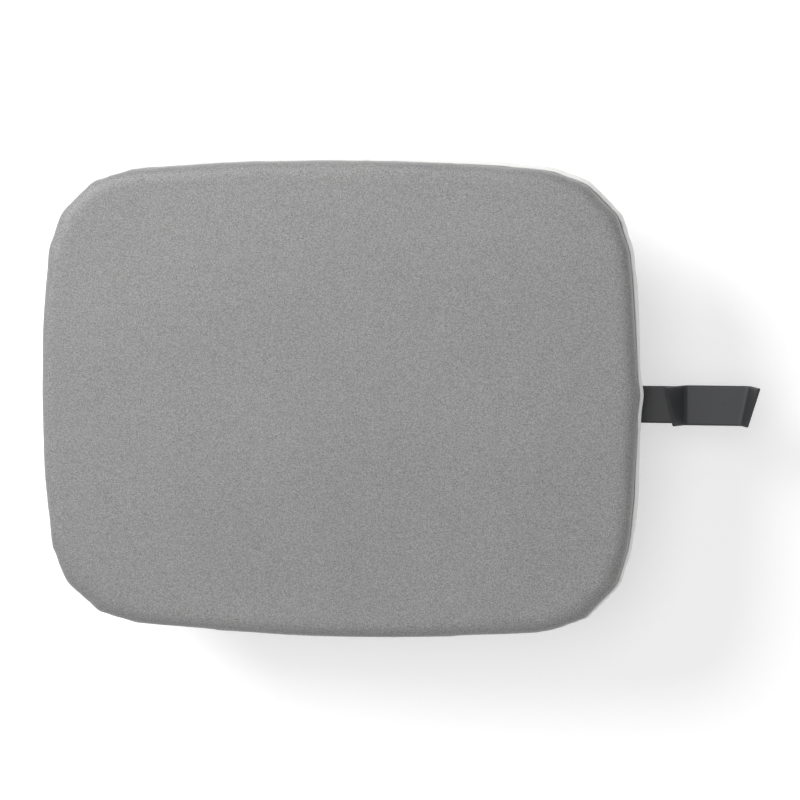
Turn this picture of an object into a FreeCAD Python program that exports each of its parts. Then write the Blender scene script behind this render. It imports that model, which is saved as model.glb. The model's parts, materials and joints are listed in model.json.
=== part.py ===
"""Tabletop ironing board with a slide-out iron rest and two folding leg frames.

Millimetres, +Z up, the table at z = 0.  +X points the way the iron rest slides out, +Y to the rear.
Every piece is first placed about the middle of the board, and save() then moves it so that the
origin is the middle of the whole footprint with the rest pulled out and the legs unfolded.
"""
import FreeCAD
import Part
import math
import os

Vec = FreeCAD.Vector
X_AXIS = Vec(1, 0, 0)
Y_AXIS = Vec(0, 1, 0)
Z_AXIS = Vec(0, 0, 1)

# ------------------------------------------------------------------ board outline, from above
cover_length = 600.0            # left to right over the cover
cover_width = 474.0             # front to rear over the cover
long_side_radius = 2350.0       # the front and rear sides are slightly bowed
short_side_radius = 1330.0      # so are the two ends
corner_radius = 98.0

# ------------------------------------------------------------------ layers, top down
ironing_height = 165.0          # table to ironing surface
cover_thickness = 1.0
cover_edge_radius = 9.0         # where the cover turns over the pad
cover_skirt = 23.0              # how far the cover comes down the side
pad_thickness = 10.0
pad_overhang = 3.0              # pad beyond the rim
deck_sheet = 1.2
rim_depth = 18.0
rim_sheet = 1.2
rim_flange = 12.0
hem_thickness = 1.0
hem_bulge = 1.5                 # hem beyond the cover
hem_lap = 3.0                   # hem up over the cover's lower edge
hem_turn_in = 24.0              # hem turned under the board
elastic_width = 6.0
elastic_thickness = 1.5

# ------------------------------------------------------------------ openings in the deck
vent_length = 38.0              # diamond vents for the steam
vent_width = 15.0
vent_pitch_x = 48.0
vent_pitch_y = 24.0             # the rows between are offset by half a pitch
vent_border = 34.0              # plain band inside the rim
vent_keep_out = 26.0            # plain patch around each screw

# ------------------------------------------------------------------ stiffening rails for the legs
rail_x = 200.0                  # middle of each rail from the middle of the board
rail_width = 30.0
rail_depth = 12.0
rail_wall = 1.5
rail_half_length = 195.0

# ------------------------------------------------------------------ leg frames
tube_radius = 8.0
tube_wall = 1.2
tube_bend_radius = 36.0
tube_above_pivot = 10.0
pivot_y = 165.0                 # hinge line from the middle of the board
pivot_drop = 22.2               # hinge line below the rail
leg_splay = 10.0                # degrees outwards when unfolded
leg_fold = 90.0 + leg_splay     # degrees from unfolded to flat under the board
sole_drop = 13.0                # middle of the cross tube above the table
foot_x = 140.0
foot_length = 36.0
foot_wall = 3.0
foot_sole_half = 8.0
foot_corner_radius = 3.0

# ------------------------------------------------------------------ leg brackets and their pins
bracket_wall = 2.0
bracket_half_length = 17.0
bracket_corner_radius = 3.0
bracket_pivot_radius = 10.0
bracket_stop_radius = 6.0
pin_radius = 3.0
pin_head_radius = 5.0
pin_head = 1.5
stop_pin_radius = 2.5
stop_pin_down = 14.0            # along the leg, below the hinge line
rivet_radius = 2.0
rivet_head_radius = 3.5
rivet_head = 1.5
rivet_y = 10.0

# ------------------------------------------------------------------ clips for the folded legs
clip_length = 20.0
clip_half_width = 12.0
clip_stem_half_width = 5.0
clip_lip_drop = 14.0            # mouth of the clip below the tube's middle
clip_mouth_flare = 2.0
clip_flange_half_length = 22.0
clip_flange = 3.0
clip_screw_x = 16.0

# ------------------------------------------------------------------ iron rest
rest_y = -5.0                   # middle of the rest, a little forward of the board's middle
rest_travel = 119.0
rest_width = 40.0               # cradle, front to rear
arm_width = 37.0
arm_thickness = 5.0
arm_pocket_depth = 2.5
arm_pocket_wall = 3.0
arm_tongue = 52.0               # arm under the cradle floor
arm_end_radius = 10.0
carriage_length = 60.0
cradle_left_x = 344.0           # foot of the inner wall
cradle_right_rear_x = 407.0     # foot of the outer wall at the rear end
cradle_right_front_x = 399.0    # and at the front end
cradle_floor = 3.5
cradle_wall = 3.0
cradle_inner_flare = 33.0       # degrees outwards, the wall beside the board
cradle_outer_flare = 20.0       # the wall at the tip
cradle_rear_height = 26.0       # walls above the floor at the rear end
cradle_front_height = 14.0      # and at the front end
cradle_inner_fillet = 5.0
cradle_headroom = 3.0           # cradle below the hem as it slides under
cradle_screw_in = 12.0          # first screw from the foot of the inner wall
cradle_screw_step = 28.0

# ------------------------------------------------------------------ guide rails of the rest
guide_wall = 6.0
guide_groove = 4.5              # how far the groove is cut into the wall
guide_floor = 3.0
guide_flange_width = 12.0
guide_flange = 3.0
guide_end = 4.0                 # closed end of each groove
guide_inset = 3.0               # outer end of the rails inside the edge of the cover
guide_screw_inner = 38.0        # screws from the inner end of the rails
guide_screw_outer = 133.0

screw_radius = 1.9
screw_head_radius = 4.0
screw_head = 2.5

# ------------------------------------------------------------------ clearances
soft_gap = 0.3                  # between soft pieces and what they lie on
slide_gap = 0.3                 # carriage in its grooves, and at both ends of its travel
rest_side_gap = 1.5             # cradle between the guide rails
fit_gap = 0.05                  # pins and screws in their holes, feet on their tube
stop_gap = 0.3                  # unfolded leg and its stop pin
cheek_gap = 0.5                 # leg tube between the bracket's cheeks
clip_gap = 0.4                  # folded leg in its clip
past = 1.0                      # how far a cutter runs past the face that it cuts

# ------------------------------------------------------------------ heights that follow
pad_top = ironing_height - cover_thickness - soft_gap
pad_bottom = pad_top - pad_thickness
deck_top = pad_bottom - soft_gap
deck_bottom = deck_top - deck_sheet
rim_bottom = deck_bottom - rim_depth
hem_inner_bottom = rim_bottom - soft_gap
hem_bottom = hem_inner_bottom - hem_thickness
cover_bottom = ironing_height - cover_skirt
rail_bottom = deck_bottom - rail_depth
pivot_z = rail_bottom - pivot_drop
cradle_crest = hem_bottom - cradle_headroom
cradle_floor_top = cradle_crest - cradle_rear_height
arm_top = cradle_floor_top - cradle_floor
arm_bottom = arm_top - arm_thickness
groove_top = arm_top + slide_gap
groove_bottom = arm_bottom - slide_gap
guide_bottom = groove_bottom - guide_floor

# ------------------------------------------------------------------ places that follow
pad_inset = cover_thickness + soft_gap
rim_inset = pad_inset + pad_overhang
elastic_inset = hem_turn_in + soft_gap
leg_length = (pivot_z - sole_drop) / math.cos(math.radians(leg_splay))
cross_tube_y = pivot_y + leg_length * math.sin(math.radians(leg_splay))
folded_tube_y = pivot_y - leg_length
guide_face = rest_width / 2 + rest_side_gap
guide_outer_x = cover_length / 2 - guide_inset
carriage_outer_x = guide_outer_x - guide_end - slide_gap
carriage_inner_x = carriage_outer_x - carriage_length
guide_inner_x = carriage_inner_x - rest_travel - slide_gap - guide_end
guide_screws_x = [guide_inner_x + guide_screw_inner, guide_inner_x + guide_screw_outer]
guide_screw_reach = guide_face + guide_wall + guide_flange_width / 2
outer_slope = math.tan(math.radians(cradle_outer_flare))
inner_slope = math.tan(math.radians(cradle_inner_flare))
outer_thickness = cradle_wall / math.cos(math.radians(cradle_outer_flare))
inner_thickness = cradle_wall / math.cos(math.radians(cradle_inner_flare))
cradle_tip_x = cradle_right_rear_x + cradle_rear_height * outer_slope + outer_thickness
board_shift = -(cradle_tip_x - cover_length / 2 - hem_bulge) / 2


# ------------------------------------------------------------------ helpers
def arc(start, middle, end):
    return Part.Arc(start, middle, end).toShape()


def unit(vector):
    return Vec(vector).normalize()


def circles_meeting(centre_a, radius_a, centre_b, radius_b):
    """The point that far from both centres, on the side of larger x and y."""
    span = centre_b - centre_a
    distance = span.Length
    along = (radius_a ** 2 - radius_b ** 2 + distance ** 2) / (2 * distance)
    across = math.sqrt(radius_a ** 2 - along ** 2)
    foot = centre_a + unit(span) * along
    side = unit(span.cross(Z_AXIS)) * across
    return max(foot + side, foot - side, key=lambda point: point.x + point.y)


def board_outline(inset, z):
    """The bowed, round-cornered outline of the board, moved inwards by inset, at height z."""
    half_length = cover_length / 2
    half_width = cover_width / 2
    end_centre = Vec(half_length - short_side_radius, 0, 0)
    side_centre = Vec(0, half_width - long_side_radius, 0)
    corner = circles_meeting(end_centre, short_side_radius - corner_radius,
                             side_centre, long_side_radius - corner_radius)
    to_end = unit(corner - end_centre)
    to_side = unit(corner - side_centre)
    end_point = end_centre + to_end * (short_side_radius - inset)
    side_point = side_centre + to_side * (long_side_radius - inset)
    corner_point = corner + unit(to_end + to_side) * (corner_radius - inset)

    def at(point, sign_x, sign_y):
        return Vec(point.x * sign_x, point.y * sign_y, z)

    edges = []
    for sign in (1, -1):
        edges.append(arc(at(end_point, sign, -sign), Vec(sign * (half_length - inset), 0, z),
                         at(end_point, sign, sign)))
        edges.append(arc(at(end_point, sign, sign), at(corner_point, sign, sign),
                         at(side_point, sign, sign)))
        edges.append(arc(at(side_point, sign, sign), Vec(0, sign * (half_width - inset), z),
                         at(side_point, -sign, sign)))
        edges.append(arc(at(side_point, -sign, sign), at(corner_point, -sign, sign),
                         at(end_point, -sign, sign)))
    return Part.Wire(edges)


def board_slab(inset, bottom, top):
    face = Part.Face(board_outline(inset, bottom))
    return face.extrude(Vec(0, 0, top - bottom))


def board_ring(outer_inset, inner_inset, bottom, top):
    inner = board_slab(inner_inset, bottom - past, top + past)
    return board_slab(outer_inset, bottom, top).cut(inner)


def rounded_top(slab, radius):
    """Round the upper edge of a slab all the way round."""
    top = slab.BoundBox.ZMax
    edges = [edge for edge in slab.Edges if edge.BoundBox.ZMin > top - 0.01]
    return slab.makeFillet(radius, edges)


def box(x0, x1, y0, y1, z0, z1):
    return Part.makeBox(x1 - x0, y1 - y0, z1 - z0, Vec(x0, y0, z0))


def upright(x, y, z0, z1, radius):
    return Part.makeCylinder(radius, z1 - z0, Vec(x, y, z0), Z_AXIS)


def lengthwise(x0, x1, y, z, radius):
    return Part.makeCylinder(radius, x1 - x0, Vec(x0, y, z), X_AXIS)


def joined(pieces):
    return pieces[0].multiFuse(pieces[1:]).removeSplitter()


def around_circles(circles, x0, x1):
    """A plate from x0 to x1, whose edge runs round (y, z, radius) circles given anticlockwise."""
    centres = [Vec(0, y, z) for y, z, radius in circles]
    radii = [radius for y, z, radius in circles]
    count = len(circles)
    leave = []
    for index in range(count):
        following = (index + 1) % count
        span = centres[following] - centres[index]
        along = unit(span)
        outwards = along.cross(X_AXIS)
        sine = (radii[index] - radii[following]) / span.Length
        leave.append(outwards * math.sqrt(1 - sine ** 2) + along * sine)
    edges = []
    for index in range(count):
        following = (index + 1) % count
        arrive = leave[index - 1]
        centre = centres[index]
        radius = radii[index]
        turn = math.atan2(arrive.cross(leave[index]).x, arrive.dot(leave[index]))
        half_turn = FreeCAD.Rotation(X_AXIS, math.degrees(turn % (2 * math.pi)) / 2)
        edges.append(arc(centre + arrive * radius, centre + half_turn.multVec(arrive) * radius,
                         centre + leave[index] * radius))
        edges.append(Part.makeLine(centre + leave[index] * radius,
                                   centres[following] + leave[index] * radii[following]))
    plate = Part.Face(Part.Wire(edges)).extrude(X_AXIS * (x1 - x0))
    plate.translate(Vec(x0, 0, 0))
    return plate


def rounded_wire(points, radii):
    """A closed wire through the points, with each corner rounded by its own radius."""
    count = len(points)
    tangents = []
    for index in range(count):
        corner = points[index]
        back = unit(points[index - 1] - corner)
        ahead = unit(points[(index + 1) % count] - corner)
        half_angle = back.getAngle(ahead) / 2
        reach = radii[index] / math.tan(half_angle)
        centre = corner + unit(back + ahead) * (radii[index] / math.sin(half_angle))
        middle = centre + unit(corner - centre) * radii[index]
        tangents.append((corner + back * reach, middle, corner + ahead * reach))
    edges = []
    for index in range(count):
        start, middle, end = tangents[index]
        edges.append(arc(start, middle, end))
        edges.append(Part.makeLine(end, tangents[(index + 1) % count][0]))
    return Part.Wire(edges)


def mirrored(shape, normal):
    return shape.mirror(Vec(0, 0, 0), normal)


# ------------------------------------------------------------------ deck, rim and rails
def clip_screw_places():
    return [(x, sign * folded_tube_y) for x in (-clip_screw_x, clip_screw_x) for sign in (-1, 1)]


def guide_screw_places():
    return [(x, rest_y + sign * guide_screw_reach) for x in guide_screws_x for sign in (-1, 1)]


def vent_places(room):
    """Centres of the diamond vents, in staggered rows, clear of the rim and of the screws."""
    screws = clip_screw_places() + guide_screw_places()
    columns = int(cover_length / vent_pitch_x) + 1
    rows = int(cover_width / vent_pitch_y) * 2
    places = []
    for row in range(-rows, rows + 1):
        offset = vent_pitch_x / 2 * (row % 2)
        for column in range(-columns, columns + 1):
            x = column * vent_pitch_x + offset
            y = row * vent_pitch_y / 2
            clear = all(math.hypot(x - sx, y - sy) > vent_keep_out for sx, sy in screws)
            if clear and room.isInside(Vec(x, y, deck_top), 0.01, True):
                places.append((x, y))
    return places


def diamond(x, y, z):
    points = [Vec(x + vent_length / 2, y, z), Vec(x, y + vent_width / 2, z),
              Vec(x - vent_length / 2, y, z), Vec(x, y - vent_width / 2, z)]
    return Part.makePolygon(points + points[:1])


def deck_panel():
    room = Part.Face(board_outline(rim_inset + vent_border, deck_top))
    wires = [board_outline(rim_inset, deck_bottom)]
    wires += [diamond(x, y, deck_bottom) for x, y in vent_places(room)]
    for x, y in clip_screw_places() + guide_screw_places():
        hole = Part.makeCircle(screw_radius + fit_gap, Vec(x, y, deck_bottom))
        wires.append(Part.Wire([hole]))
    face = Part.makeFace(wires, "Part::FaceMakerCheese")
    return face.extrude(Vec(0, 0, deck_sheet))


def deck_rim():
    inner = rim_inset + rim_flange
    return joined([board_ring(rim_inset, rim_inset + rim_sheet, rim_bottom, deck_bottom),
                   board_ring(rim_inset, inner, deck_bottom - rim_sheet, deck_bottom),
                   board_ring(rim_inset, inner, rim_bottom, rim_bottom + rim_sheet)])


def rivet_places(x, side):
    return [(x, side * pivot_y + offset) for offset in (-rivet_y, rivet_y)]


def leg_rail(x):
    half = rail_width / 2
    channel = box(x - half, x + half, -rail_half_length, rail_half_length, rail_bottom, deck_bottom)
    hollow = box(x - half + rail_wall, x + half - rail_wall, -rail_half_length - past,
                 rail_half_length + past, rail_bottom + rail_wall, deck_bottom + past)
    holes = [upright(hx, hy, rail_bottom - past, rail_bottom + rail_wall + past,
                     rivet_radius + fit_gap)
             for side in (-1, 1) for hx, hy in rivet_places(x, side)]
    return channel.cut([hollow] + holes)


# ------------------------------------------------------------------ pad, cover and hem
def underlay_pad():
    pad_edge_radius = cover_edge_radius - cover_thickness
    return rounded_top(board_slab(pad_inset, pad_bottom, pad_top), pad_edge_radius)


def cover():
    outer = rounded_top(board_slab(0, cover_bottom, ironing_height), cover_edge_radius)
    inner = rounded_top(board_slab(cover_thickness, cover_bottom - past,
                                   ironing_height - cover_thickness),
                        cover_edge_radius - cover_thickness)
    return outer.cut(inner)


def cover_hem():
    side = board_ring(-hem_bulge, hem_thickness - hem_bulge, hem_bottom, cover_bottom + hem_lap)
    under = board_ring(-hem_bulge, hem_turn_in, hem_bottom, hem_inner_bottom)
    return joined([side, under])


def hem_elastic():
    return board_ring(elastic_inset, elastic_inset + elastic_width, hem_bottom,
                      hem_bottom + elastic_thickness)


# ------------------------------------------------------------------ leg brackets
def stop_pin_place():
    """(y, z) of the stop pin from the hinge line, outwards and down along the unfolded leg."""
    tilt = math.radians(leg_splay)
    clear = tube_radius + stop_gap + stop_pin_radius
    y = stop_pin_down * math.sin(tilt) + clear * math.cos(tilt)
    z = -stop_pin_down * math.cos(tilt) + clear * math.sin(tilt)
    return y, z


def leg_bracket(x, side):
    inner = tube_radius + cheek_gap
    outer = inner + bracket_wall
    stop_y, stop_z = stop_pin_place()
    corner_y = bracket_half_length - bracket_corner_radius
    corner_z = rail_bottom - bracket_corner_radius
    circles = [(pivot_y, pivot_z, bracket_pivot_radius),
               (pivot_y + stop_y, pivot_z + stop_z, bracket_stop_radius),
               (pivot_y + corner_y, corner_z, bracket_corner_radius),
               (pivot_y - corner_y, corner_z, bracket_corner_radius)]
    cheeks = [around_circles(circles, x + inner, x + outer),
              around_circles(circles, x - outer, x - inner)]
    web = box(x - outer, x + outer, pivot_y - corner_y, pivot_y + corner_y,
              rail_bottom - bracket_wall, rail_bottom)
    holes = [lengthwise(x - outer - past, x + outer + past, pivot_y, pivot_z,
                        pin_radius + fit_gap),
             lengthwise(x - outer - past, x + outer + past, pivot_y + stop_y, pivot_z + stop_z,
                        stop_pin_radius + fit_gap)]
    holes += [upright(hx, hy, rail_bottom - bracket_wall - past, rail_bottom + past,
                      rivet_radius + fit_gap) for hx, hy in rivet_places(x, 1)]
    bracket = joined(cheeks + [web]).cut(holes)
    return bracket if side > 0 else mirrored(bracket, Y_AXIS)


def headed_pin(x, y, z, radius):
    """A pin through both cheeks of a bracket, with a flat head outside each."""
    outer = tube_radius + cheek_gap + bracket_wall
    return joined([lengthwise(x - outer, x + outer, y, z, radius),
                   lengthwise(x + outer, x + outer + pin_head, y, z, pin_head_radius),
                   lengthwise(x - outer - pin_head, x - outer, y, z, pin_head_radius)])


def pivot_pin(x, side):
    return headed_pin(x, side * pivot_y, pivot_z, pin_radius)


def stop_pin(x, side):
    y, z = stop_pin_place()
    return headed_pin(x, side * (pivot_y + y), pivot_z + z, stop_pin_radius)


def rivet(x, y):
    low = rail_bottom - bracket_wall
    high = rail_bottom + rail_wall
    return joined([upright(x, y, low, high, rivet_radius),
                   upright(x, y, low - rivet_head, low, rivet_head_radius),
                   upright(x, y, high, high + rivet_head, rivet_head_radius)])


# ------------------------------------------------------------------ leg frames and feet
def leg_path():
    """Middle line of a leg frame hanging straight down from its hinge line."""
    low = pivot_z - leg_length
    bend = tube_bend_radius
    slant = bend * (1 - math.sqrt(0.5))
    top = pivot_z + tube_above_pivot
    left = [Vec(-rail_x, pivot_y, top), Vec(-rail_x, pivot_y, low + bend),
            Vec(-rail_x + slant, pivot_y, low + slant), Vec(-rail_x + bend, pivot_y, low)]
    right = [Vec(-point.x, point.y, point.z) for point in left]
    return Part.Wire([Part.makeLine(left[0], left[1]), arc(left[1], left[2], left[3]),
                      Part.makeLine(left[3], right[3]), arc(right[3], right[2], right[1]),
                      Part.makeLine(right[1], right[0])])


def swept_round(path, radius):
    start = path.Vertexes[0].Point
    section = Part.Wire([Part.makeCircle(radius, start, Z_AXIS)])
    return path.makePipeShell([section], True, False)


def leg_frame(side):
    path = leg_path()
    tube = swept_round(path, tube_radius).cut(swept_round(path, tube_radius - tube_wall))
    reach = tube_radius + past
    holes = [lengthwise(x - reach, x + reach, pivot_y, pivot_z, pin_radius + fit_gap)
             for x in (-rail_x, rail_x)]
    frame = tube.cut(holes)
    frame.rotate(Vec(0, pivot_y, pivot_z), X_AXIS, leg_splay)
    return frame if side > 0 else mirrored(frame, Y_AXIS)


def leg_foot(x, side):
    corner_z = foot_corner_radius
    circles = [(cross_tube_y - foot_sole_half, corner_z, foot_corner_radius),
               (cross_tube_y + foot_sole_half, corner_z, foot_corner_radius),
               (cross_tube_y, sole_drop, tube_radius + foot_wall)]
    x0 = x - foot_length / 2
    x1 = x + foot_length / 2
    bore = lengthwise(x0 - past, x1 + past, cross_tube_y, sole_drop, tube_radius + fit_gap)
    foot = around_circles(circles, x0, x1).cut(bore)
    return foot if side > 0 else mirrored(foot, Y_AXIS)


# ------------------------------------------------------------------ clips for the folded legs
def leg_clip(side):
    half = clip_half_width
    low = pivot_z - clip_lip_drop
    grip_top = pivot_z + tube_radius + clip_gap + clip_flange
    grip = box(-clip_length / 2, clip_length / 2, folded_tube_y - half, folded_tube_y + half,
               low, grip_top)
    stem = box(-clip_length / 2, clip_length / 2, folded_tube_y - clip_stem_half_width,
               folded_tube_y + clip_stem_half_width, grip_top, deck_bottom)
    flange = box(-clip_flange_half_length, clip_flange_half_length, folded_tube_y - half,
                 folded_tube_y + half, deck_bottom - clip_flange, deck_bottom)
    reach = clip_length / 2 + past
    room = tube_radius + clip_gap
    mouth = room + clip_mouth_flare
    slot_points = [Vec(-reach, folded_tube_y - room, pivot_z),
                   Vec(-reach, folded_tube_y - mouth, low - past),
                   Vec(-reach, folded_tube_y + mouth, low - past),
                   Vec(-reach, folded_tube_y + room, pivot_z)]
    slot = Part.Face(Part.makePolygon(slot_points + slot_points[:1])).extrude(X_AXIS * 2 * reach)
    seat = lengthwise(-reach, reach, folded_tube_y, pivot_z, room)
    holes = [upright(x, folded_tube_y, deck_bottom - clip_flange - past, deck_bottom + past,
                     screw_radius + fit_gap) for x in (-clip_screw_x, clip_screw_x)]
    clip = joined([grip, stem, flange]).cut([slot, seat] + holes)
    return clip if side > 0 else mirrored(clip, Y_AXIS)


def deck_screw(x, y, under):
    """A screw up into the deck, with its head under a flange of that thickness."""
    seat = deck_bottom - under
    return joined([upright(x, y, seat, deck_top, screw_radius),
                   upright(x, y, seat - screw_head, seat, screw_head_radius)])


# ------------------------------------------------------------------ guide rails of the rest
def guide_rail(side):
    face = rest_y + side * guide_face
    back = face + side * guide_wall
    groove = face + side * guide_groove
    edge = back + side * guide_flange_width

    def span(x0, x1, y0, y1, z0, z1):
        return box(x0, x1, min(y0, y1), max(y0, y1), z0, z1)

    web = span(guide_inner_x, guide_outer_x, face, back, guide_bottom, deck_bottom)
    flange = span(guide_inner_x, guide_outer_x, back, edge, deck_bottom - guide_flange, deck_bottom)
    channel = span(guide_inner_x + guide_end, guide_outer_x - guide_end, face - side * past, groove,
                   groove_bottom, groove_top)
    hem_room_x = cover_length / 2 - elastic_inset - elastic_width - guide_end
    hem_room = span(hem_room_x, guide_outer_x + past, face - side * past, edge + side * past,
                    hem_bottom - soft_gap - past, deck_bottom + past)
    rail_room = span(rail_x - rail_width / 2 - past, rail_x + rail_width / 2 + past,
                     face - side * past, edge + side * past, rail_bottom - past,
                     deck_bottom + past)
    holes = [upright(x, rest_y + side * guide_screw_reach, deck_bottom - guide_flange - past,
                     deck_bottom + past, screw_radius + fit_gap) for x in guide_screws_x]
    return joined([web, flange]).cut([channel, hem_room, rail_room] + holes)


# ------------------------------------------------------------------ iron rest
def cradle_screw_places():
    first = cradle_left_x + cradle_screw_in
    return [first, first + cradle_screw_step]


def rest_arm():
    tip = cradle_left_x + arm_tongue
    half = arm_width / 2
    carriage_half = guide_face + guide_groove - slide_gap
    strip = box(carriage_inner_x, tip, rest_y - half, rest_y + half, arm_bottom, arm_top)
    tip_edges = [edge for edge in strip.Edges
                 if abs(edge.BoundBox.XMin - tip) < 0.01 and edge.BoundBox.ZLength > 1]
    strip = strip.makeFillet(arm_end_radius, tip_edges)
    carriage = box(carriage_inner_x, carriage_outer_x, rest_y - carriage_half,
                   rest_y + carriage_half, arm_bottom, arm_top)
    pocket = box(carriage_inner_x + arm_pocket_wall, cradle_left_x - arm_pocket_wall,
                 rest_y - half + arm_pocket_wall, rest_y + half - arm_pocket_wall,
                 arm_bottom - past, arm_bottom + arm_pocket_depth)
    holes = [upright(x, rest_y, arm_bottom - past, arm_top + past, screw_radius + fit_gap)
             for x in cradle_screw_places()]
    return joined([strip, carriage]).cut([pocket] + holes)


def cradle_section(y, right_foot, height):
    """The trough's section at one end: a floor between two flared walls."""
    top = cradle_floor_top + height
    low = arm_top
    left_low_x = cradle_left_x + cradle_floor * inner_slope - inner_thickness
    right_low_x = right_foot - cradle_floor * outer_slope + outer_thickness
    left_top_x = cradle_left_x - height * inner_slope
    right_top_x = right_foot + height * outer_slope
    points = [(left_low_x, low), (right_low_x, low),
              (right_top_x + outer_thickness, top), (right_top_x, top),
              (right_foot, cradle_floor_top), (cradle_left_x, cradle_floor_top),
              (left_top_x, top), (left_top_x - inner_thickness, top)]
    outer_fillet = cradle_inner_fillet + cradle_wall
    crest = cradle_wall * 0.3
    radii = [outer_fillet, outer_fillet, crest, crest,
             cradle_inner_fillet, cradle_inner_fillet, crest, crest]
    return rounded_wire([Vec(x, y, z) for x, z in points], radii)


def rest_cradle():
    rear = cradle_section(rest_y + rest_width / 2, cradle_right_rear_x, cradle_rear_height)
    front = cradle_section(rest_y - rest_width / 2, cradle_right_front_x, cradle_front_height)
    trough = Part.makeLoft([rear, front], True, True)
    pilots = [upright(x, rest_y, arm_top - past, cradle_floor_top - past, screw_radius + fit_gap)
              for x in cradle_screw_places()]
    return trough.cut(pilots)


def cradle_screw(x):
    tip = cradle_floor_top - past - fit_gap
    return joined([upright(x, rest_y, arm_bottom, tip, screw_radius),
                   upright(x, rest_y, arm_bottom - screw_head, arm_bottom, screw_head_radius)])


# ------------------------------------------------------------------ writing the pieces
def save(name, shapes):
    """Move a piece, or a set of like pieces, to its place in the part and write it."""
    placed = []
    for shape in shapes:
        for solid in shape.Solids:
            copy = solid.copy()
            copy.translate(Vec(board_shift, 0, 0))
            placed.append(copy)
    whole = placed[0] if len(placed) == 1 else Part.makeCompound(placed)
    whole.exportStep("parts/" + name + ".step")
    size = whole.BoundBox
    print(f"{name:24s} solids {len(placed):2d}  valid {whole.isValid()}  "
          f"volume {whole.Volume:10.1f}  z {size.ZMin:7.2f} to {size.ZMax:7.2f}")


def main():
    os.makedirs("parts", exist_ok=True)
    ends = {"left": -rail_x, "right": rail_x}
    sides = {"front": -1, "rear": 1}

    save("deck_panel", [deck_panel()])
    save("deck_rim", [deck_rim()])
    save("underlay_pad", [underlay_pad()])
    save("cover", [cover()])
    save("cover_hem", [cover_hem()])
    save("hem_elastic", [hem_elastic()])

    for end, x in ends.items():
        save(end + "_leg_rail", [leg_rail(x)])
    for side, sign in sides.items():
        save(side + "_leg_frame", [leg_frame(sign)])
        save(side + "_leg_clip", [leg_clip(sign)])
        save(side + "_guide_rail", [guide_rail(sign)])
        for end, x in ends.items():
            foot = math.copysign(foot_x, x)
            save(f"{side}_{end}_bracket", [leg_bracket(x, sign)])
            save(f"{side}_{end}_pivot_pin", [pivot_pin(x, sign)])
            save(f"{side}_{end}_foot", [leg_foot(foot, sign)])

    corners = [(x, sign) for x in ends.values() for sign in sides.values()]
    save("stop_pins", [stop_pin(x, sign) for x, sign in corners])
    save("bracket_rivets", [rivet(hx, hy) for x, sign in corners
                            for hx, hy in rivet_places(x, sign)])
    save("clip_screws", [deck_screw(x, y, clip_flange) for x, y in clip_screw_places()])
    save("guide_screws", [deck_screw(x, y, guide_flange) for x, y in guide_screw_places()])

    save("rest_arm", [rest_arm()])
    save("rest_cradle", [rest_cradle()])
    save("cradle_screws", [cradle_screw(x) for x in cradle_screw_places()])


main()
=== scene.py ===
# %% [markdown]
# # A tabletop ironing board with a slide-out iron rest
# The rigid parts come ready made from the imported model: deck, rim, rails, legs, pins.
# This file dresses them.  It draws a cloth over the board, binds its edge, lays the pad,
# moulds the iron rest with its rounded edges, and gives every piece its finish.
# It runs from top to bottom, and each step says what the real piece is and why it is made so.

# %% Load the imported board
import json
import math

import bpy
import numpy as np
from mathutils import Matrix, Vector, geometry


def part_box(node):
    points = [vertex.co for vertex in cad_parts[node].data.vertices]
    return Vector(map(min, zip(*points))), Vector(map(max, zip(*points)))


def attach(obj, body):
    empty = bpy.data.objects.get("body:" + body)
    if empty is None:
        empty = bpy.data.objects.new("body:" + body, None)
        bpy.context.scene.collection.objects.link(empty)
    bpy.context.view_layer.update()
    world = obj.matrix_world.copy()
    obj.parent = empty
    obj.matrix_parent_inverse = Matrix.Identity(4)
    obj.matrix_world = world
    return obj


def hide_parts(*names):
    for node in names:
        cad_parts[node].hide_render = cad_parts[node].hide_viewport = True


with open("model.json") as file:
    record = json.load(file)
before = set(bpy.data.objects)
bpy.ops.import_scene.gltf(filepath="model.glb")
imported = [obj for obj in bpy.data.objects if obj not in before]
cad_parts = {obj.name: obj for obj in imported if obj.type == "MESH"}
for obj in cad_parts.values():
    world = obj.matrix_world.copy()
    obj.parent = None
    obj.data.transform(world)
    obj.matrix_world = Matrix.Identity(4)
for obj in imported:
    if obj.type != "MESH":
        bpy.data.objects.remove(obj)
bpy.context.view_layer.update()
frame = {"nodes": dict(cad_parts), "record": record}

nodes = frame["nodes"]
bpy.context.scene.view_settings.view_transform = "Standard"

# %% [markdown]
# ## Small helpers
# Blender's operators act on whatever is selected, so a step always starts by saying which
# object it means.  Faces, edges and points are then picked in code, by where they are.

# %% Choose an object, pick parts of it, finish it
def only(obj):
    """Select this object alone and make it the active one."""
    if bpy.context.object and bpy.context.object.mode != "OBJECT":
        bpy.ops.object.mode_set(mode="OBJECT")
    bpy.ops.object.select_all(action="DESELECT")
    obj.select_set(True)
    bpy.context.view_layer.objects.active = obj
    return obj


def edit(obj, pick="all", mode="VERT"):
    """Enter edit mode with everything picked, nothing picked, or the parts that pick(part) likes."""
    only(obj)
    mesh = obj.data
    bpy.ops.object.mode_set(mode="EDIT")
    bpy.ops.mesh.select_mode(type=mode)
    bpy.ops.mesh.select_all(action="SELECT" if pick == "all" else "DESELECT")
    if callable(pick):
        bpy.ops.object.mode_set(mode="OBJECT")
        parts = {"VERT": mesh.vertices, "EDGE": mesh.edges, "FACE": mesh.polygons}[mode]
        for part in parts:
            part.select = bool(pick(part))
        bpy.ops.object.mode_set(mode="EDIT")


def done():
    bpy.ops.object.mode_set(mode="OBJECT")
    return bpy.context.object


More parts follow.
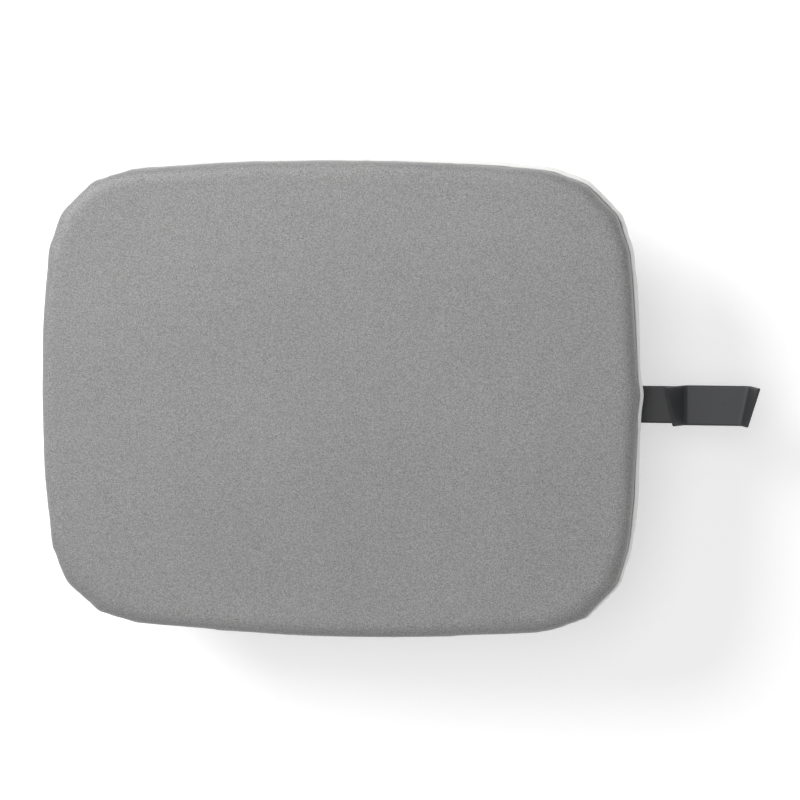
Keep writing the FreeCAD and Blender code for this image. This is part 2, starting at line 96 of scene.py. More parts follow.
def added(name):
    """Name the primitive that was just added, and put its place into its mesh."""
    piece = bpy.context.object
    piece.name = name
    piece.data.name = name
    bpy.ops.object.transform_apply(location=True, rotation=True, scale=True)
    return piece


def finish_with(piece, kind, **settings):
    """Add a modifier, set it, and apply it."""
    only(piece)
    modifier = piece.modifiers.new(kind.title(), kind)
    for key, value in settings.items():
        setattr(modifier, key, value)
    bpy.ops.object.modifier_apply(modifier=modifier.name)
    return piece


def mesh_copy(source, name):
    """A plain copy of a mesh, with its loose triangles merged."""
    piece = bpy.data.objects.new(name, source.data.copy())
    bpy.context.scene.collection.objects.link(piece)
    edit(piece)
    bpy.ops.mesh.remove_doubles(threshold=0.00001)
    return done()


def points_of(piece):
    places = np.empty(len(piece.data.vertices) * 3)
    piece.data.vertices.foreach_get("co", places)
    return places.reshape(-1, 3)


def set_points(piece, places):
    piece.data.vertices.foreach_set("co", places.ravel())
    piece.data.update()


def joined(pieces, name):
    only(pieces[0])
    for piece in pieces:
        piece.select_set(True)
    bpy.ops.object.join()
    pieces[0].name = name
    return pieces[0]


def count(piece):
    print(f"{piece.name}: {len(piece.data.vertices)} points, {len(piece.data.polygons)} faces")
    return piece


# %% [markdown]
# ## The board's outline
# The cover, the binding and the pad all follow the same outline, a rounded rectangle whose sides
# bow a little.  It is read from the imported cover.  A spine drawn well inside the outline gives
# every point of the cloth two numbers: how far in from the edge it lies, and which way is out.

# %% Read the outline and draw the spine inside it
spine_inset = 0.060
cover_low, cover_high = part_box("cover")
binding_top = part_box("cover_hem")[1].z
rim_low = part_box("deck_rim")[0]
board_middle = (cover_low + cover_high) / 2


def outline_of(node):
    """The outline of a node seen from above, anticlockwise, about the middle of the board."""
    corners = nodes[node].data.vertices
    flat = [Vector((v.co.x - board_middle.x, v.co.y - board_middle.y)) for v in corners]
    ring = np.array([flat[i] for i in geometry.convex_hull_2d(flat)])
    ahead = np.roll(ring, -1, axis=0)
    area = np.sum(ring[:, 0] * ahead[:, 1] - ahead[:, 0] * ring[:, 1])
    ring = ring if area > 0 else ring[::-1]
    step = np.linalg.norm(np.roll(ring, -1, axis=0) - ring, axis=1)
    return ring[step > 0.0005]


def moved_in(ring, inset):
    """The ring moved inwards by inset."""
    along = np.roll(ring, -1, axis=0) - np.roll(ring, 1, axis=0)
    along /= np.linalg.norm(along, axis=1)[:, None]
    return ring + np.column_stack([-along[:, 1], along[:, 0]]) * inset


def nearest_on(ring, places):
    """The nearest point on the ring to each place."""
    ahead = np.roll(ring, -1, axis=0) - ring
    best = np.full(len(places), 1e9)
    found = np.zeros((len(places), 2))
    for start, step in zip(ring, ahead):
        share = np.clip(((places - start) @ step) / (step @ step), 0, 1)
        foot = start + share[:, None] * step
        gap = np.linalg.norm(places - foot, axis=1)
        nearer = gap < best
        best[nearer] = gap[nearer]
        found[nearer] = foot[nearer]
    return found, best


outline = outline_of("cover")
spine = moved_in(outline, spine_inset)


def edge_place(places):
    """For each point: how far in from the cover's edge it lies, and its outward direction."""
    flat = places[:, :2] - np.array(board_middle.xy)
    foot, gap = nearest_on(spine, flat)
    outwards = (flat - foot) / np.maximum(gap, 1e-6)[:, None]
    inside = np.einsum("ij,ij->i", outwards, foot) < 0
    outwards[inside] *= 0
    inset = np.where(inside, spine_inset + gap, spine_inset - gap)
    return inset, outwards


print("outline", len(outline), "corners, reach", outline.max(axis=0).round(4))

# %% [markdown]
# ## The cover, drawn over the board
# On the real board the cover is one flat cut cloth.  It is drawn down over the edge and pulled
# in underneath by an elastic, so the sides come out smooth and the corners gather.
# The same is done here.  A blank is made from the pad and the rim, a cloth is laid over it, and
# the cloth's resting size is that of the flat cut, so the corners have too much of it.

# %% The blank, and the cloth laid on it
cloth_gap = 0.0015
turned_in = 0.026
cloth_cell = 0.006
underside = rim_low.z + 0.003
cloth_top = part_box("underlay_pad")[1].z + cloth_gap

pad_copy = mesh_copy(nodes["underlay_pad"], "blank")
rim_copy = mesh_copy(nodes["deck_rim"], "rim copy")
blank = joined([pad_copy, rim_copy], "blank")
edit(blank)
bpy.ops.mesh.convex_hull()
done()
cloth = mesh_copy(blank, "cloth")
edit(cloth)
bpy.ops.mesh.normals_make_consistent(inside=False)
bpy.ops.transform.shrink_fatten(value=cloth_gap)
done()
finish_with(cloth, "REMESH", mode="VOXEL", voxel_size=cloth_cell)
finish_with(cloth, "SMOOTH", factor=0.5, iterations=3)
face_inset = edge_place(np.array([f.center for f in cloth.data.polygons]))[0]
edit(cloth, lambda f: f.center.z < underside and face_inset[f.index] > turned_in, "FACE")
bpy.ops.mesh.delete(type="FACE")
done()
count(blank)
count(cloth)

# %% The flat cut: how far along the cloth each point lies, kept as its UV place
wall_foot = 0.015
strip_half_width = 0.002
edit(cloth)
bpy.ops.mesh.region_to_loop()
done()
on_border = np.array([v.select for v in cloth.data.vertices])
start = points_of(cloth)
inset, outwards = edge_place(start)
start[on_border, :2] += (outwards * (inset - turned_in)[:, None])[on_border]
set_points(cloth, start)
inset, outwards = edge_place(start)
facing = np.array([v.normal.z for v in cloth.data.vertices])
depth = cloth_top - start[:, 2]
wall_inset = edge_place(np.array([[board_middle.x, rim_low.y, 0]]))[0][0] - cloth_gap
steps = depth - inset + np.where(depth > wall_foot, 2 * np.maximum(0, inset - wall_inset), 0)
across = start[:, 0] - board_middle.x
in_strip = np.abs(across - np.abs(across).min()) < strip_half_width
row = np.flatnonzero(in_strip & (start[:, 1] < 0) & (steps > -spine_inset))
row = row[np.argsort(steps[row])]
lengths = np.concatenate([[0], np.cumsum(np.linalg.norm(np.diff(start[row], axis=0), axis=1))])
beyond = np.where(steps > -spine_inset, np.interp(steps, steps[row], lengths + steps[row][0]), steps)
print("one strip of", len(row), "points, from", steps[row][0].round(4), "to", lengths[-1].round(4))
flat_cut = start.copy()
flat_cut[:, :2] += outwards * (inset + beyond)[:, None]
flat_cut[:, 2] = cloth_top
pattern = cloth.data.uv_layers.new(name="pattern")
corner_points = np.array([loop.vertex_index for loop in cloth.data.loops])
pattern.data.foreach_set("uv", (flat_cut[corner_points][:, :2]).ravel())
print("flat cut", np.ptp(flat_cut[:, :2], axis=0).round(3))

# %% [markdown]
# The last finger's width of the turned-in edge is held by the elastic.  Everything else is free
# to slide on the blank, and is a touch small for it, so that it pulls tight.

# %% How the cloth pulls tight
def pull_tight(piece, rest_places, held, over, frames=20, furthest=0.003):
    """Settle the cloth over the blank, with its springs at the lengths they have in rest_places.
    What would go into the blank is taken back, and no point ends up further off than furthest."""
    before = points_of(piece)
    group = piece.vertex_groups.new(name="held")
    group.add([int(i) for i in np.flatnonzero(held)], 1.0, "ADD")
    piece.shape_key_add(name="Basis")
    cut = piece.shape_key_add(name="flat cut")
    cut.data.foreach_set("co", rest_places.ravel())
    over.modifiers.new("Collision", "COLLISION")
    over.collision.thickness_outer = 0.001
    over.collision.cloth_friction = 8
    cloth_mod = piece.modifiers.new("Cloth", "CLOTH")
    springs = cloth_mod.settings
    springs.quality = 8
    springs.mass = 0.15
    springs.tension_stiffness = 18
    springs.compression_stiffness = 10
    springs.shear_stiffness = 6
    springs.bending_stiffness = 0.6
    springs.tension_damping = 12
    springs.compression_damping = 12
    springs.shear_damping = 12
    springs.air_damping = 3
    springs.shrink_min = 0.008
    springs.rest_shape_key = cut
    springs.vertex_group_mass = "held"
    springs.effector_weights.gravity = 0
    cloth_mod.collision_settings.distance_min = 0.001
    cloth_mod.collision_settings.collision_quality = 3
    cloth_mod.point_cache.frame_end = frames
    for number in range(1, frames + 1):
        bpy.context.scene.frame_set(number)
    settled = piece.evaluated_get(bpy.context.evaluated_depsgraph_get())
    after = np.array([v.co for v in settled.data.vertices])
    bpy.context.scene.frame_set(1)
    piece.modifiers.remove(cloth_mod)
    only(piece)
    bpy.ops.object.shape_key_remove(all=True)
    normals = np.array([v.normal for v in piece.data.vertices])
    move = after - before
    into_blank = np.minimum(0, np.sum(move * normals, axis=1))
    move -= normals * into_blank[:, None]
    length = np.linalg.norm(move, axis=1)
    share = np.minimum(1, furthest / np.maximum(length, 1e-9))
    set_points(piece, before + move * share[:, None])
    print(f"settled: moved up to {length.max() * 1000:.1f} mm, kept to {furthest * 1000:.0f} mm")


# %% [markdown]
# Above the pad the cloth stays flat, so the settled shape is blended in from the edge outwards.
# At each corner the spare cloth falls into three flat facets between gathered folds,
# because the elastic draws the edge in along straight chords.

# %% Settle it, then fold the corners into facets
gather_zone = 0.022
facet_angle = math.radians(26)
corner_reach = 0.098
fold_stands_out = 0.0015
first_fold = 6
fold_drift = 1.5
held_width = 0.009


def corner_fold(outwards):
    """How far each point of a corner stands out or in, as three flat facets between folds."""
    turn = np.degrees(np.arctan2(outwards[:, 1], outwards[:, 0]))
    facet = (np.mod(turn, 90) - first_fold + fold_drift * np.floor(turn / 90)) / math.degrees(facet_angle)
    swing = (np.mod(facet, 1) - 0.5) * facet_angle
    fold = corner_reach * (math.cos(facet_angle / 2) / np.cos(swing) - 1) + fold_stands_out
    at_ends = np.clip(np.minimum(facet, 3 - facet) / 0.25, 0, 1)
    return np.where((facet > 0) & (facet < 3), fold * at_ends, 0)


held = (facing < -0.6) & (inset > turned_in - held_width)
pull_tight(cloth, flat_cut, held, blank)
finish_with(cloth, "SMOOTH", factor=0.5, iterations=6)

loose = np.clip((beyond + gather_zone) / gather_zone, 0, 1)
loose = loose * loose * (3 - 2 * loose)
settled = start + (points_of(cloth) - start) * loose[:, None]
settled[:, :2] += outwards * (corner_fold(outwards) * loose)[:, None]
lump_at = np.array([cover_high.x, 0.008])
lump_reach = np.array([0.020, 0.012])
near_arm = np.exp(-np.sum(((settled[:, :2] - lump_at) / lump_reach) ** 2, axis=1))
lump_height = 0.0025
settled[:, 0] += lump_height * near_arm * loose
set_points(cloth, settled)
count(cloth)

# %% [markdown]
# ## Cover and binding
# The silvery cover ends in a white binding that is sewn over its edge.  The binding is the part
# that turns in under the rim, with the elastic inside it.  Both are cut from the settled cloth:
# the cloth is divided at two heights, and the binding is moved out to lie over the cover.
# It hangs a little slack on the wall, most of all at the rear and at the arm's end.

# %% Divide the cloth, and give both pieces their thickness
cover_foot = cover_low.z + 0.0004
cover_thick = 0.0007
binding_thick = 0.0010
binding_stands_off = 0.0009
seam_height = 0.0055
hang, hang_right, hang_rear = 0.0040, 0.0008, 0.0006


def cut_level(piece, height, keep_above):
    edit(piece)
    bpy.ops.mesh.bisect(
        plane_co=(0, 0, height), plane_no=(0, 0, 1), clear_inner=keep_above, clear_outer=not keep_above)
    bpy.ops.mesh.select_all(action="SELECT")
    bpy.ops.mesh.remove_doubles(threshold=0.0003)
    done()


finish_with(cloth, "SUBSURF", levels=1, render_levels=1)
binding = bpy.data.objects.new("edge_binding", cloth.data.copy())
bpy.context.scene.collection.objects.link(binding)
cut_level(cloth, cover_foot, True)
cut_level(binding, binding_top, False)
edit(binding)
bpy.ops.transform.shrink_fatten(value=binding_stands_off)
done()
places = points_of(binding)
binding_inset, binding_out = edge_place(places)
above_turn = np.clip((places[:, 2] - rim_low.z + 0.002) / 0.004, 0, 1)
near_edge = np.clip((0.014 - binding_inset) / 0.008, 0, 1)
sewn = np.clip((binding_top - places[:, 2]) / seam_height, 0, 1)
slack = (hang + hang_right * binding_out[:, 0] + hang_rear * binding_out[:, 1]) * sewn
places[:, :2] += binding_out * (slack * above_turn * near_edge)[:, None]
set_points(binding, places)
cloth.name = "ironing_cover"


def cut_of(piece):
    """The sides and the area of a cloth's flat cut, from its pattern and not its settled shape."""
    cut = np.empty(len(piece.data.loops) * 2)
    piece.data.uv_layers["pattern"].data.foreach_get("uv", cut)
    cut = cut.reshape(-1, 2)
    area = 0.0
    for face in piece.data.polygons:
        ring = cut[list(face.loop_indices)]
        ahead = np.roll(ring, -1, axis=0)
        area += abs(np.sum(ring[:, 0] * ahead[:, 1] - ahead[:, 0] * ring[:, 1])) / 2
    return np.ptp(cut, axis=0), area


cover_size, cover_area = cut_of(cloth)
for piece, thick in ((cloth, cover_thick), (binding, binding_thick)):
    edit(piece)
    bpy.ops.mesh.normals_make_consistent(inside=False)
    done()
    if np.mean([f.normal.z for f in piece.data.polygons if f.center.z > cover_foot]) < 0:
        edit(piece)
        bpy.ops.mesh.flip_normals()
        done()
    finish_with(piece, "SOLIDIFY", thickness=thick, offset=0)
    only(piece)
    bpy.ops.object.shade_smooth()
    count(piece)
bpy.data.objects.remove(blank)

# %% [markdown]
# ## Pad and elastic
# The felt pad lies between the deck and the cover and is cut a little smaller than both.
# Its cut edge is soft, so it is remade in an even mesh and its faces are made slightly uneven.
# The elastic is a narrow band inside the binding, puckered where it has drawn the cloth in.

# %% Remake the pad and the elastic in an even mesh
def remade(node, name, cell, passes, added_parts=()):
    piece = joined([mesh_copy(nodes[node], name), *added_parts], name)
    finish_with(piece, "REMESH", mode="VOXEL", voxel_size=cell)
    finish_with(piece, "SMOOTH", factor=0.5, iterations=passes)
    only(piece)
    bpy.ops.object.shade_smooth()
    return piece


pad_dimple = 0.00012
pad_corner_reach = 0.020
pad_corner_gap = 0.0006
pad = remade("underlay_pad", "felt_pad", 0.005, 2)
places = points_of(pad)
broad_wave = np.sin(places[:, 0] * 61) * np.sin(places[:, 1] * 53 + 1)
wave = broad_wave + np.sin(places[:, 0] * 140 + places[:, 1] * 90)
places[:, 2] -= pad_dimple * (1 + wave / 2) * (places[:, 2] > board_middle.z)
pad_inset, pad_out = edge_place(places)
pad_share = np.clip(1 - pad_inset / pad_corner_reach, 0, 1)
places[:, :2] += pad_out * ((corner_fold(pad_out) - pad_corner_gap) * pad_share)[:, None]
set_points(pad, places)
count(pad)

puckers = 150
pucker_height = 0.00025
elastic = remade("hem_elastic", "elastic_band", 0.0011, 1)
places = points_of(elastic)
way = np.arctan2(places[:, 1] * 1.2, places[:, 0] - board_middle.x)
places[:, 2] += pucker_height * np.sin(way * puckers)
set_points(elastic, places)
count(elastic)

# %% [markdown]
# ## The iron rest
# The rest is moulded plastic.  A flat arm slides out of the board and carries a shallow trough
# with one wall higher than the other, in which the iron's heel stands.  Moulded edges are never
# sharp, so both parts are remade in a fine even mesh and relaxed, which rounds every edge.
# A low ridge at the foot of the inner wall, which stops the iron's heel, melts into the floor.

# %% Round the arm and the cradle
arm = remade("rest_arm", "moulded_arm", 0.0009, 5)
cradle_low, cradle_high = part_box("rest_cradle")
cradle_floor = 0.0035
ridge_radius = 0.0030
ridge_length = 0.034
ridge_inset = 0.0180
ridge_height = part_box("rest_arm")[1].z + cradle_floor - 0.4 * ridge_radius
ridge_middle = (cradle_low.x + ridge_inset, (cradle_low.y + cradle_high.y) / 2, ridge_height)
bpy.ops.mesh.primitive_cylinder_add(
    vertices=24, radius=ridge_radius, depth=ridge_length, location=ridge_middle,
    rotation=(math.pi / 2, 0, 0))
heel_ridge = added("heel ridge")
cradle = remade("rest_cradle", "moulded_cradle", 0.0008, 5, [heel_ridge])
count(arm)
count(cradle)

# %% [markdown]
# ## Screws and rivets
# The guide rails, the clips and the cradle are held by pan head screws with a crossed recess.
# The leg brackets are riveted.  One screw and one rivet are modelled, by adding a cylinder,
# rounding its rim and cutting the recess, and a copy is set at each place in the plain model.

# %% Find where they go
def places_in(node):
    """The lowest and highest corner of every separate solid in a node, in a fixed order."""
    only(mesh_copy(nodes[node], "apart"))
    bpy.ops.object.mode_set(mode="EDIT")
    bpy.ops.mesh.select_all(action="SELECT")
    bpy.ops.mesh.separate(type="LOOSE")
    done()
    found = []
    for part in list(bpy.context.selected_objects):
        places = points_of(part)
        found.append((tuple(places.min(axis=0)), tuple(places.max(axis=0))))
        bpy.data.objects.remove(part)
    return sorted(found)


# %% Model a screw head and a rivet head, both facing down
def round_head(radius, thick, rounding):
    """A short cylinder from height 0 up to thick, with its lower rim rounded."""
    bpy.ops.mesh.primitive_cylinder_add(vertices=32, radius=radius, depth=thick, location=(0, 0, thick / 2))
    head = added("head")
    points = head.data.vertices
    edit(head, lambda e: all(points[i].co.z < 0.00001 for i in e.vertices), "EDGE")
    bpy.ops.mesh.bevel(offset=rounding, segments=4, profile=0.5)
    return done()


def cut_cross(head, arm_length, arm_width, deep):
    for wide, long in ((arm_width, arm_length), (arm_length, arm_width)):
        bpy.ops.mesh.primitive_cube_add(size=1, scale=(wide, long, 2 * deep))
        cutter = added("cutter")
        finish_with(head, "BOOLEAN", operation="DIFFERENCE", object=cutter, solver="EXACT")
        bpy.data.objects.remove(cutter)


def with_shank(head, radius, low, high):
    bpy.ops.mesh.primitive_cylinder_add(
        vertices=20, radius=radius, depth=high - low, location=(0, 0, (low + high) / 2))
    return joined([head, added("shank")], head.name)


def copied_to(model, node, name):
    """One copy of the model at each of the node's solids, all in one piece."""
    copies = []
    for low, high in places_in(node):
        piece = bpy.data.objects.new("copy", model.data.copy())
        bpy.context.scene.collection.objects.link(piece)
        middle = Vector(((low[0] + high[0]) / 2, (low[1] + high[1]) / 2, low[2]))
        piece.data.transform(Matrix.Translation(middle))
        copies.append(piece)
    made = joined(copies, name)
    only(made)
    bpy.ops.object.shade_smooth_by_angle(angle=math.radians(35))
    return count(made)


screw_sets = []
screw_lengths = (("guide_screws", "guide_rail_screws", 0.0067), ("clip_screws", "leg_clip_screws", 0.0067),
                 ("cradle_screws", "cradle_pan_screws", 0.0099))
for node, name, shank_end in screw_lengths:
    screw = round_head(radius=0.004, thick=0.0025, rounding=0.0012)
    cut_cross(screw, arm_length=0.0040, arm_width=0.0009, deep=0.0012)
    screw = with_shank(screw, radius=0.0019, low=0.0024, high=shank_end)
    screw_sets.append((copied_to(screw, node, name), node))
    bpy.data.objects.remove(screw)

lower_head = round_head(radius=0.0035, thick=0.0015, rounding=0.0010)
upper_head = round_head(radius=0.0035, thick=0.0015, rounding=0.0010)
upper_head.data.transform(Matrix.Translation((0, 0, 0.0065)) @ Matrix.Rotation(math.pi, 4, "X"))
rivet = with_shank(joined([lower_head, upper_head], "rivet"), radius=0.0020, low=0.0014, high=0.0051)
rivets = copied_to(rivet, "bracket_rivets", "domed_rivets")
bpy.data.objects.remove(rivet)

# %% [markdown]
# ## The feet
# Each foot is a rubber sleeve pushed over the tube, thick and flat below.  Rubber is moulded
# with rounded edges, and shallow grooves round the sleeve let it grip and be pulled on.

# %% Round the feet and press grooves into them
feet = []
groove_pitch = 0.006
groove_share = 0.07
sole_height = 0.005
inner_radius = 0.0095
for end in ("front", "rear"):
    for hand in ("left", "right"):
        node = f"{end}_{hand}_foot"
        foot = remade(node, f"{end}_{hand}_rubber_foot", 0.001, 4)
        low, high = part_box(node)
        places = points_of(foot)
        centre = np.array([(low.y + high.y) / 2, high.z - (high.y - low.y) / 2])
        from_centre = places[:, 1:] - centre
        along = (places[:, 0] - (low.x + high.x) / 2) / groove_pitch
        groove = np.clip(np.cos(along * 2 * math.pi) * 3 - 1.8, 0, 1)
        groove *= np.clip((places[:, 2] - low.z - sole_height) / 0.004, 0, 1)
        groove *= np.linalg.norm(from_centre, axis=1) > inner_radius
        places[:, 1:] -= groove_share * from_centre * groove[:, None]
        set_points(foot, places)
        feet.append((foot, node, f"{end}_leg"))
print("feet", [len(foot.data.polygons) for foot, _, _ in feet])

# %% [markdown]
# ## Shared surface effects
# Two node groups serve every finish.  One gives fine and broad unevenness from a place in
# metres, the other gives the over and under of a woven cloth.  They hand out values only, and
# each material decides what to do with them.

# %% The two node groups
def put(tree, kind, settings=None, **sockets):
    """Add a node, set its options, and feed its inputs with constants or with other sockets."""
    made = tree.nodes.new(kind)
    for key, value in (settings or {}).items():
        setattr(made, key, value)
    for key, value in sockets.items():
        by_number = key[0] == "i" and key[1:].isdigit()
        socket = made.inputs[int(key[1:]) if by_number else key.replace("_", " ")]
        if isinstance(value, bpy.types.NodeSocket):
            tree.links.new(value, socket)
        else:
            socket.default_value = value
    return made


def new_group(name, inputs, outputs):
    tree = bpy.data.node_groups.new(name, "ShaderNodeTree")
    for title, kind, value in inputs:
        socket = tree.interface.new_socket(title, in_out="INPUT", socket_type=kind)
        if value is not None:
            socket.default_value = value
    for title in outputs:
        tree.interface.new_socket(title, in_out="OUTPUT", socket_type="NodeSocketFloat")
    return tree, tree.nodes.new("NodeGroupInput"), tree.nodes.new("NodeGroupOutput")


uneven, given, handed = new_group(
    "Uneven surface",
    [("Vector", "NodeSocketVector", None),
     ("Fine", "NodeSocketFloat", 1200.0),
     ("Broad", "NodeSocketFloat", 9.0)],
    ["Fine", "Broad", "Rubbed"],
)
place = given.outputs[0]
fine = put(uneven, "ShaderNodeTexNoise", Vector=place, Scale=given.outputs[1], Detail=3.0)
broad = put(uneven, "ShaderNodeTexNoise", Vector=place, Scale=given.outputs[2], Detail=5.0, Roughness=0.6)
spots = put(uneven, "ShaderNodeTexNoise", Vector=place, Scale=160.0, Detail=6.0, Roughness=0.7)
rubbed = put(uneven, "ShaderNodeMapRange", {"interpolation_type": "SMOOTHSTEP"}, Value=spots.outputs[0])
rubbed.inputs["From Min"].default_value = 0.60
rubbed.inputs["From Max"].default_value = 0.74
for number, source in enumerate((fine.outputs[0], broad.outputs[0], rubbed.outputs[0])):
    uneven.links.new(source, handed.inputs[number])

weave, given, handed = new_group(
    "Plain weave",
    [("Vector", "NodeSocketVector", None), ("Threads", "NodeSocketFloat", 350.0)],
    ["Height", "Thread"],
)
bands = []
for direction in ("X", "Y"):
    band = put(weave, "ShaderNodeTexWave", {"bands_direction": direction, "wave_profile": "SIN"},
               Vector=given.outputs[0], Scale=given.outputs[1], Distortion=0.6, Detail=1.0)
    bands.append(band.outputs["Fac"])
crossing = put(weave, "ShaderNodeMath", {"operation": "MULTIPLY"}, i0=bands[0], i1=bands[1])
either = put(weave, "ShaderNodeMath", {"operation": "MAXIMUM"}, i0=bands[0], i1=bands[1])
weave.links.new(crossing.outputs[0], handed.inputs[1])
weave.links.new(either.outputs[0], handed.inputs[0])
print("groups", [g.name for g in bpy.data.node_groups])

# %% [markdown]
# ## The finishes
# Every finish is described by the same few numbers: its colour, how much a second colour shows
# in broad patches, how strong the fine grain is, how rough it is and how deep its relief is.
# Cloth is mapped by its flat cut, so the threads follow the folds; solid parts by their place.

# %% One function that makes a finish
finishes = {}


def finish(name, colour, second, grain=0.1, rough=0.5, rough_swing=0.1, relief=0.00002, fine_scale=1200.0,
           broad_scale=9.0, threads=0.0, rubbed_colour=None, **constants):
    made = bpy.data.materials.new(name)
    made.use_nodes = True
    tree = made.node_tree
    skin = tree.nodes["Principled BSDF"]
    coordinates = tree.nodes.new("ShaderNodeTexCoord")
    place = coordinates.outputs["UV" if threads else "Object"]
    rough_map = put(tree, "ShaderNodeGroup", {"node_tree": uneven}, Vector=coordinates.outputs["Object"],
                    Fine=fine_scale, Broad=broad_scale)
    mix = put(tree, "ShaderNodeMix", {"data_type": "RGBA"}, i0=rough_map.outputs["Broad"],
              i6=(*colour, 1), i7=(*second, 1))
    tint = mix.outputs[2]
    if rubbed_colour:
        worn = put(tree, "ShaderNodeMix", {"data_type": "RGBA"}, i0=rough_map.outputs["Rubbed"],
                   i6=tint, i7=(*rubbed_colour, 1))
        tint = worn.outputs[2]
    speck = put(tree, "ShaderNodeMapRange", Value=rough_map.outputs["Fine"])
    speck.inputs["From Min"].default_value = 0.25
    speck.inputs["From Max"].default_value = 0.75
    speck.inputs["To Min"].default_value = 1 - grain
    speck.inputs["To Max"].default_value = 1 + grain
    shade = put(tree, "ShaderNodeVectorMath", {"operation": "SCALE"}, i0=tint, i3=speck.outputs[0])
    height = rough_map.outputs["Fine"]
    if threads:
        cloth_map = put(tree, "ShaderNodeGroup", {"node_tree": weave}, Vector=place, Threads=threads)
        height = cloth_map.outputs["Height"]
    tree.links.new(shade.outputs[0], skin.inputs["Base Color"])
    rough_value = put(tree, "ShaderNodeMapRange", Value=rough_map.outputs["Broad"])
    rough_value.inputs["To Min"].default_value = rough - rough_swing
    rough_value.inputs["To Max"].default_value = rough + rough_swing
    tree.links.new(rough_value.outputs[0], skin.inputs["Roughness"])
    bump = put(tree, "ShaderNodeBump", Strength=0.6, Distance=relief, Height=height)
    tree.links.new(bump.outputs[0], skin.inputs["Normal"])
    for key, value in constants.items():
        skin.inputs[key.replace("_", " ")].default_value = value
    finishes[name] = made


finish(
    "metallised_cotton", (0.225, 0.225, 0.231), (0.29, 0.288, 0.283), grain=0.48, rough=0.55,
    rough_swing=0.08, relief=0.00012, fine_scale=850.0, broad_scale=7.0, threads=350.0,
    Metallic=0.25, Sheen_Weight=0.15, Sheen_Roughness=0.5)
finish(
    "white_binding", (0.87, 0.865, 0.85), (0.79, 0.785, 0.77), grain=0.05, rough=0.85,
    rough_swing=0.05, relief=0.00010, threads=420.0, Sheen_Weight=0.2)
finish(
    "felt", (0.30, 0.31, 0.33), (0.42, 0.42, 0.42), grain=0.35, rough=0.95,
    rough_swing=0.04, relief=0.0004, fine_scale=700.0, broad_scale=60.0, Sheen_Weight=0.3)
finish(
    "white_enamel", (0.76, 0.77, 0.77), (0.70, 0.71, 0.72), grain=0.02, rough=0.33,
    rough_swing=0.08, relief=0.00002, fine_scale=500.0, rubbed_colour=(0.60, 0.60, 0.60),
    Coat_Weight=0.2)
finish(
    "slate_plastic", (0.028, 0.029, 0.032), (0.036, 0.037, 0.040), grain=0.12, rough=0.45,
    rough_swing=0.08, relief=0.00004, fine_scale=1500.0, rubbed_colour=(0.05, 0.05, 0.053))
finish(
    "pale_plastic", (0.62, 0.63, 0.62), (0.55, 0.56, 0.56), grain=0.04, rough=0.42,
    relief=0.00003, fine_scale=1500.0, rubbed_colour=(0.50, 0.50, 0.49))
finish(
    "grey_rubber", (0.10, 0.10, 0.105), (0.15, 0.15, 0.15), grain=0.15, rough=0.8,
    relief=0.00006, fine_scale=1300.0, rubbed_colour=(0.20, 0.20, 0.19))
finish(
    "plated_steel", (0.58, 0.58, 0.57), (0.46, 0.46, 0.45), grain=0.08, rough=0.30,
    relief=0.00002, broad_scale=120.0, rubbed_colour=(0.40, 0.39, 0.36), Metallic=1.0)
print("finishes", list(finishes))

# %% [markdown]
# ## Dressing the model
# Each new piece takes the place of its plain part, rides on the same moving body and takes its
# finish from the same slot of the record.  The plain parts that stay get the same finishes.

# %% Put every piece in its place
def dress(piece, slot_name):
    piece.data.materials.clear()
    piece.data.materials.append(finishes[slot_name])


def stand_for(piece, node, body, slot_name):
    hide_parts(node)
    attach(piece, body)
    dress(piece, slot_name)


stand_for(cloth, "cover", "board", "metallised_cotton")
stand_for(binding, "cover_hem", "board", "white_binding")
stand_for(pad, "underlay_pad", "board", "felt")
stand_for(elastic, "hem_elastic", "board", "white_binding")
stand_for(arm, "rest_arm", "iron_rest", "slate_plastic")
stand_for(cradle, "rest_cradle", "iron_rest", "slate_plastic")
for screws, node in screw_sets:
    stand_for(screws, node, "iron_rest" if node == "cradle_screws" else "board", "plated_steel")
stand_for(rivets, "bracket_rivets", "board", "plated_steel")
for foot, node, body in feet:
    stand_for(foot, node, body, "grey_rubber")
slot_of = {entry["node"]: entry["material_slot"] for entry in frame["record"]["subparts"]}
for name, node in nodes.items():
    if not node.hide_render:
        node.data.materials.clear()
        node.data.materials.append(finishes[slot_of[name]])
print("dressed", sum(not node.hide_render for node in nodes.values()), "plain parts")
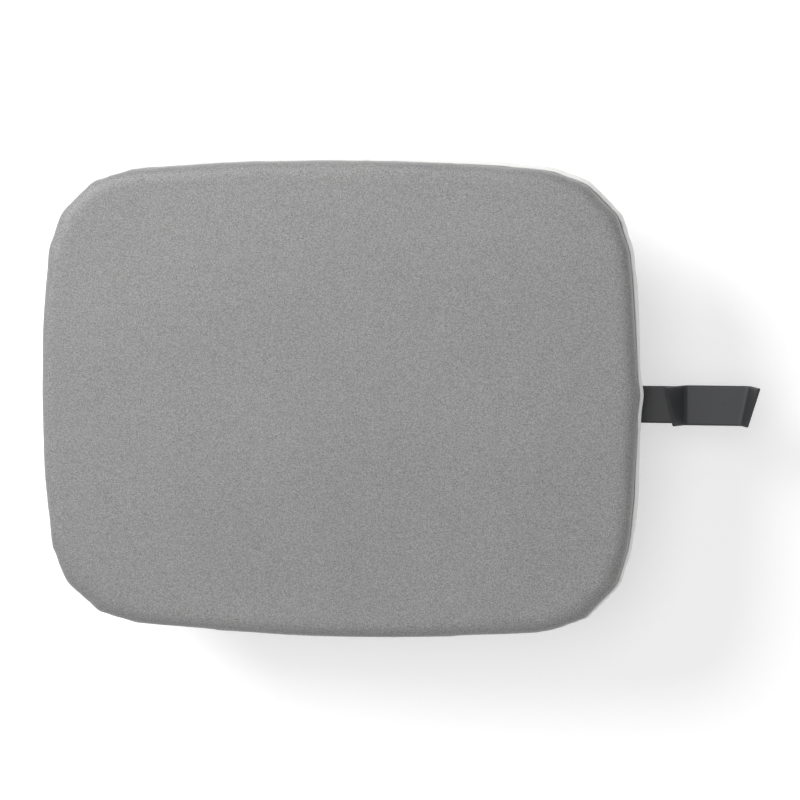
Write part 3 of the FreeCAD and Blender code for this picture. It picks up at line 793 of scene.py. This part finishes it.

# %% [markdown]
# The cover was cut flat as a rounded rectangle, so its size and area, found above, are those of its pattern
# and not of the finished mesh.

# %% [markdown]
# ## Floor, light and camera
# The board stands on a pale plain floor that glows a little, so that shadows stay light.
# One large soft light from the left and the rear gives the gentle fall of shade across the
# cover, and a weaker one above keeps the floor even.  The camera looks down on the board from
# well above, leaning a little towards the arm's end and towards the rear.

# %% Floor and lights
bpy.ops.mesh.primitive_plane_add(size=40, location=(0, 0, 0))
floor = added("floor")
paper = bpy.data.materials.new("Pale paper")
paper.use_nodes = True
paper_skin = paper.node_tree.nodes["Principled BSDF"].inputs
paper_skin["Base Color"].default_value = (0.90, 0.90, 0.90, 1)
paper_skin["Roughness"].default_value = 0.9
paper_skin["Emission Color"].default_value = (1, 1, 1, 1)
paper_skin["Emission Strength"].default_value = 0.3
floor.data.materials.append(paper)


def soft_light(name, place, size, power, aim=(0, 0, 0.15)):
    bpy.ops.object.light_add(type="AREA", location=place)
    light = bpy.context.object
    light.name = name
    light.data.shape = "DISK"
    light.data.size = size
    light.data.energy = power
    light.rotation_euler = (Vector(aim) - Vector(place)).to_track_quat("-Z", "Y").to_euler()


soft_light("key light", (-1.8, 1.4, 2.1), size=1.6, power=64)
soft_light("top light", (0, 0.4, 3.2), size=1.8, power=22)
world = bpy.data.worlds.new("Pale room")
bpy.context.scene.world = world
world.use_nodes = True
world.node_tree.nodes["Background"].inputs["Color"].default_value = (1, 1, 1, 1)
world.node_tree.nodes["Background"].inputs["Strength"].default_value = 0.42

# %% Camera
camera_tilt_right = math.radians(9)
camera_tilt_rear = math.radians(5)
camera_distance = 2.975
look_at = Vector((0.0055, 0.0005, 0.150))
bpy.ops.object.camera_add()
camera = bpy.context.object
toward = Vector((math.tan(camera_tilt_right), math.tan(camera_tilt_rear), 1)).normalized()
side = Vector((0, 1, 0)).cross(toward).normalized()
up = toward.cross(side)
turned = Matrix((side, up, toward)).transposed().to_4x4()
camera.matrix_world = Matrix.Translation(look_at + toward * camera_distance) @ turned
camera.data.lens = 135
camera.data.sensor_width = 36
bpy.context.scene.camera = camera

# %% [markdown]

# %% Update the scene and finish
bpy.context.view_layer.update()
